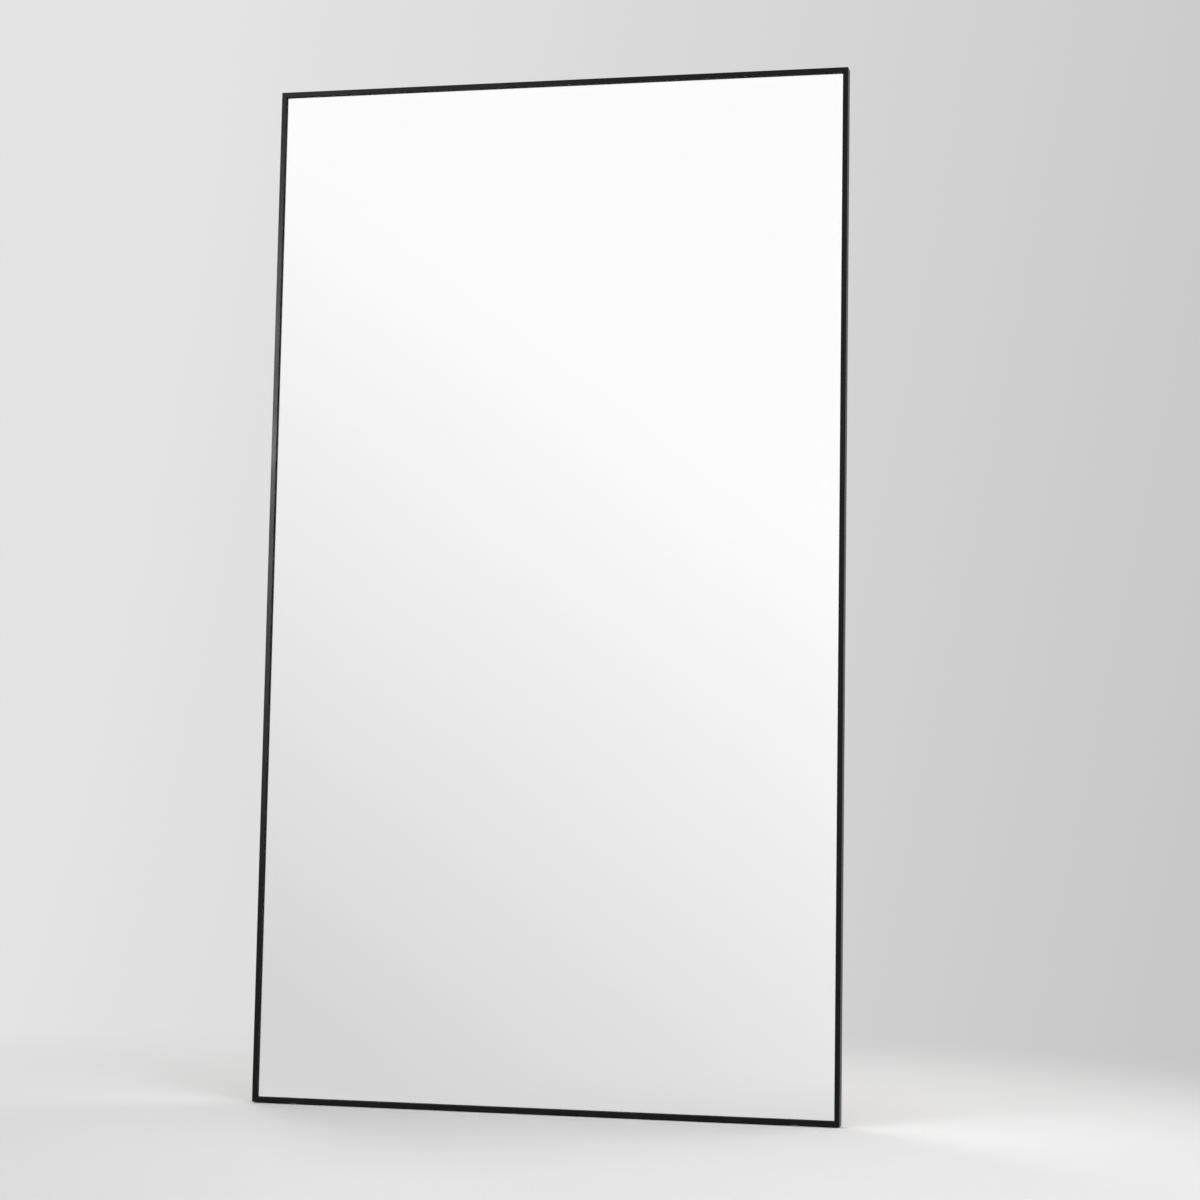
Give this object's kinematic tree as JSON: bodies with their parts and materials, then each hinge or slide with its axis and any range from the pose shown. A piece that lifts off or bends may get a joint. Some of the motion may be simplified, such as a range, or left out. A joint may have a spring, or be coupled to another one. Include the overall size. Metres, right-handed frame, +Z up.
{
  "type": "full-length mirror",
  "caption": "Tall rectangular floor mirror with a slim black metal frame, a backing board, and swinging wire rings behind it for hanging it on a wall.",
  "frame": {"origin": "on the floor, in the middle of the width and of the depth, with the mirror upright on its feet", "axes": "+X to the right as seen from the front, +Y to the back, so that the glass faces -Y, and +Z up"},
  "size_m": [1.2, 0.032, 2.102],
  "materials": {
    "frame_black": "satin black powder coat on extruded aluminium",
    "glass_pane": "clear polished float glass",
    "mirror_coat": "silver coat",
    "safety_film": "woven backing film",
    "foam_tape": "closed-cell foam",
    "rubber_black": "moulded rubber",
    "hardboard": "smooth hardboard with fine fibres",
    "zinc_steel": "bright zinc-plated steel",
    "screw_steel": "zinc-plated screws",
    "bar_steel": "galvanised flat bar",
    "ring_steel": "nickel-plated wire",
    "clear_rubber": "clear soft rubber"
  },
  "bodies": {
    "mirror": {"top_rail": "frame_black", "bottom_rail": "frame_black", "left_stile": "frame_black", "right_stile": "frame_black", "mirror_glass": "glass_pane", "silvering": "mirror_coat", "safety_film": "safety_film", "front_tape_top": "foam_tape", "front_tape_bottom": "foam_tape", "front_tape_left": "foam_tape", "front_tape_right": "foam_tape", "setting_blocks": "rubber_black", "backing_board": "hardboard", "rear_packer_top": "foam_tape", "rear_packer_bottom": "foam_tape", "rear_packer_left": "foam_tape", "rear_packer_right": "foam_tape", "corner_bracket_top_left": "zinc_steel", "corner_bracket_top_right": "zinc_steel", "corner_bracket_bottom_left": "zinc_steel", "corner_bracket_bottom_right": "zinc_steel", "corner_screws": "screw_steel", "hanging_bar": "bar_steel", "brace_bar": "bar_steel", "bar_screws": "screw_steel", "bar_pads": "foam_tape", "hanger_strap_left": "zinc_steel", "hanger_strap_right": "zinc_steel", "hanger_screws": "screw_steel", "foot_left": "clear_rubber", "foot_right": "clear_rubber", "wall_bumpers": "rubber_black"},
    "ring_left": {"d_ring_left": "ring_steel"},
    "ring_right": {"d_ring_right": "ring_steel"}
  },
  "joints": [
    {"name": "ring_left_swing", "type": "hinge", "parent": "mirror", "child": "ring_left", "pos_m": [-0.38, 0.0092, 1.728], "axis": [1, 0, 0], "range_deg": [0, 180]},
    {"name": "ring_right_swing", "type": "hinge", "parent": "mirror", "child": "ring_right", "pos_m": [0.38, 0.0092, 1.728], "axis": [1, 0, 0], "range_deg": [0, 180]}
  ]
}
